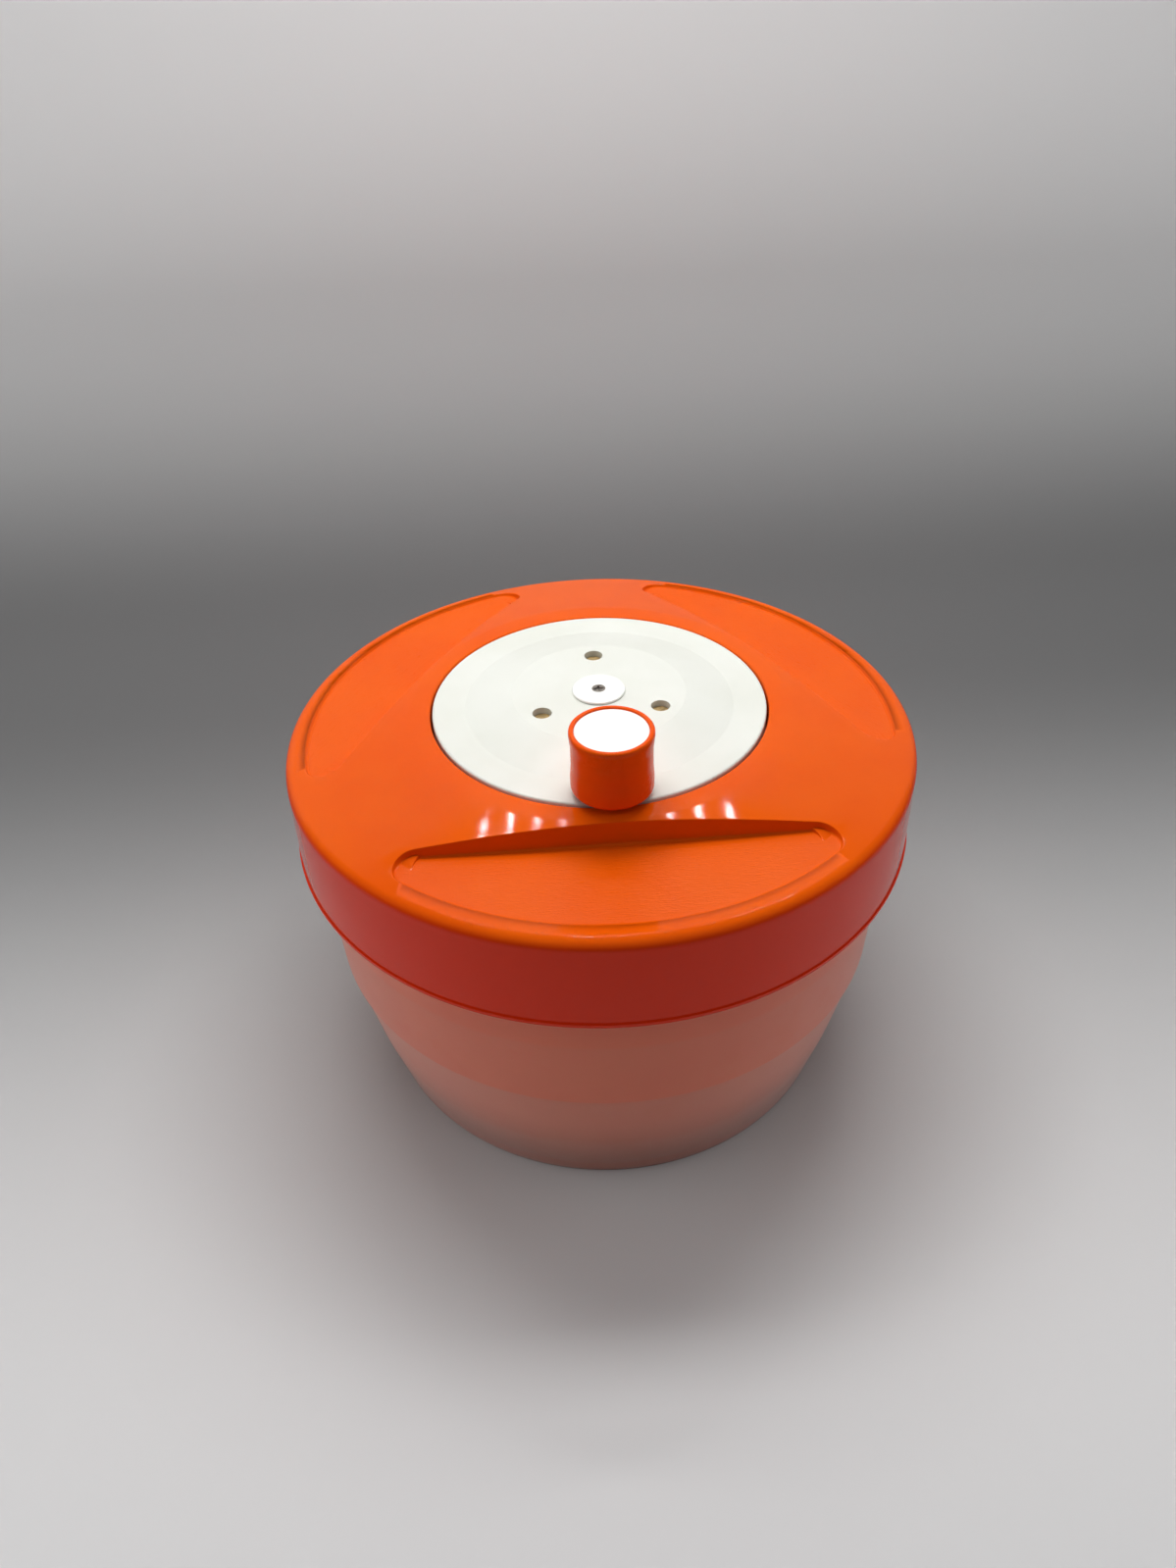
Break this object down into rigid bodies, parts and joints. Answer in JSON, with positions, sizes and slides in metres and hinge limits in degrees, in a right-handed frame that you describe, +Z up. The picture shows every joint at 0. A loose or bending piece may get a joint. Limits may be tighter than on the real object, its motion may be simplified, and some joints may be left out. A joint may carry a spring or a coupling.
{
  "type": "salad spinner",
  "caption": "Salad spinner: frosted bowl, slotted basket turning in it, and a lid with a geared crank disc and knob.",
  "frame": {"origin": "centre of the foot circle, on the table", "axes": "+Z up along the spinner's axis; the knob is at the front, toward -Y"},
  "size_m": [0.2496, 0.2496, 0.193],
  "materials": {
    "frosted": "frosted translucent",
    "orange_lid": "gloss",
    "orange_basket": "satin",
    "orange_knob": "gloss",
    "white_disc": "satin",
    "white_plastic": "satin",
    "gear_plastic": "matt",
    "brass": "dull",
    "steel": "bright"
  },
  "bodies": {
    "bowl": {"bowl": "frosted", "pivot_pin": "steel"},
    "basket_bearing": {"basket_bush": "white_plastic"},
    "basket": {"basket": "orange_basket"},
    "lid": {"lid": "orange_lid", "ring_gear": "gear_plastic", "ring_gear_screws": "steel"},
    "crank": {"crank_disc": "white_disc", "planet_pin_1": "brass", "planet_pin_2": "brass", "planet_pin_3": "brass", "knob_post": "steel", "knob_washer": "white_plastic", "knob_screw": "steel"},
    "knob": {"knob_sleeve": "orange_knob", "knob_cap": "white_plastic"},
    "planet_1": {"planet_gear_1": "gear_plastic"},
    "planet_2": {"planet_gear_2": "gear_plastic"},
    "planet_3": {"planet_gear_3": "gear_plastic"},
    "drive": {"sun_gear": "gear_plastic", "thrust_washer": "steel", "centre_cap": "white_plastic", "centre_screw": "steel", "driver_plate": "white_plastic", "driver_washer": "steel", "driver_screw": "steel"}
  },
  "joints": [
    {"name": "lid_lift", "type": "slide", "parent": "bowl", "child": "lid", "axis": [0, 0, 1], "range_m": [0, 0.3]},
    {"name": "basket_lift", "type": "slide", "parent": "bowl", "child": "basket_bearing", "axis": [0, 0, 1], "range_m": [0, 0.15]},
    {"name": "basket_spin", "type": "hinge", "parent": "basket_bearing", "child": "basket", "pos_m": [0, 0, 0], "axis": [0, 0, 1], "continuous": true},
    {"name": "crank_turn", "type": "hinge", "parent": "lid", "child": "crank", "pos_m": [0, 0, 0.166], "axis": [0, 0, 1], "continuous": true},
    {"name": "drive_spin", "type": "hinge", "parent": "lid", "child": "drive", "pos_m": [0, 0, 0.15], "axis": [0, 0, 1], "continuous": true},
    {"name": "knob_spin", "type": "hinge", "parent": "crank", "child": "knob", "pos_m": [0, -0.0585, 0.18], "axis": [0, 0, 1], "continuous": true},
    {"name": "planet_1_spin", "type": "hinge", "parent": "crank", "child": "planet_1", "pos_m": [0, 0.02633, 0.157], "axis": [0, 0, 1], "continuous": true},
    {"name": "planet_2_spin", "type": "hinge", "parent": "crank", "child": "planet_2", "pos_m": [0.0228, -0.01316, 0.157], "axis": [0, 0, 1], "continuous": true},
    {"name": "planet_3_spin", "type": "hinge", "parent": "crank", "child": "planet_3", "pos_m": [-0.0228, -0.01316, 0.157], "axis": [0, 0, 1], "continuous": true}
  ],
  "couplings": [
    {"joint": "basket_lift", "follows": "lid_lift", "ratio": 0.5},
    {"joint": "drive_spin", "follows": "basket_spin", "ratio": 1},
    {"joint": "crank_turn", "follows": "basket_spin", "ratio": 0.19231},
    {"joint": "planet_1_spin", "follows": "basket_spin", "ratio": -0.50481},
    {"joint": "planet_2_spin", "follows": "basket_spin", "ratio": -0.50481},
    {"joint": "planet_3_spin", "follows": "basket_spin", "ratio": -0.50481}
  ]
}
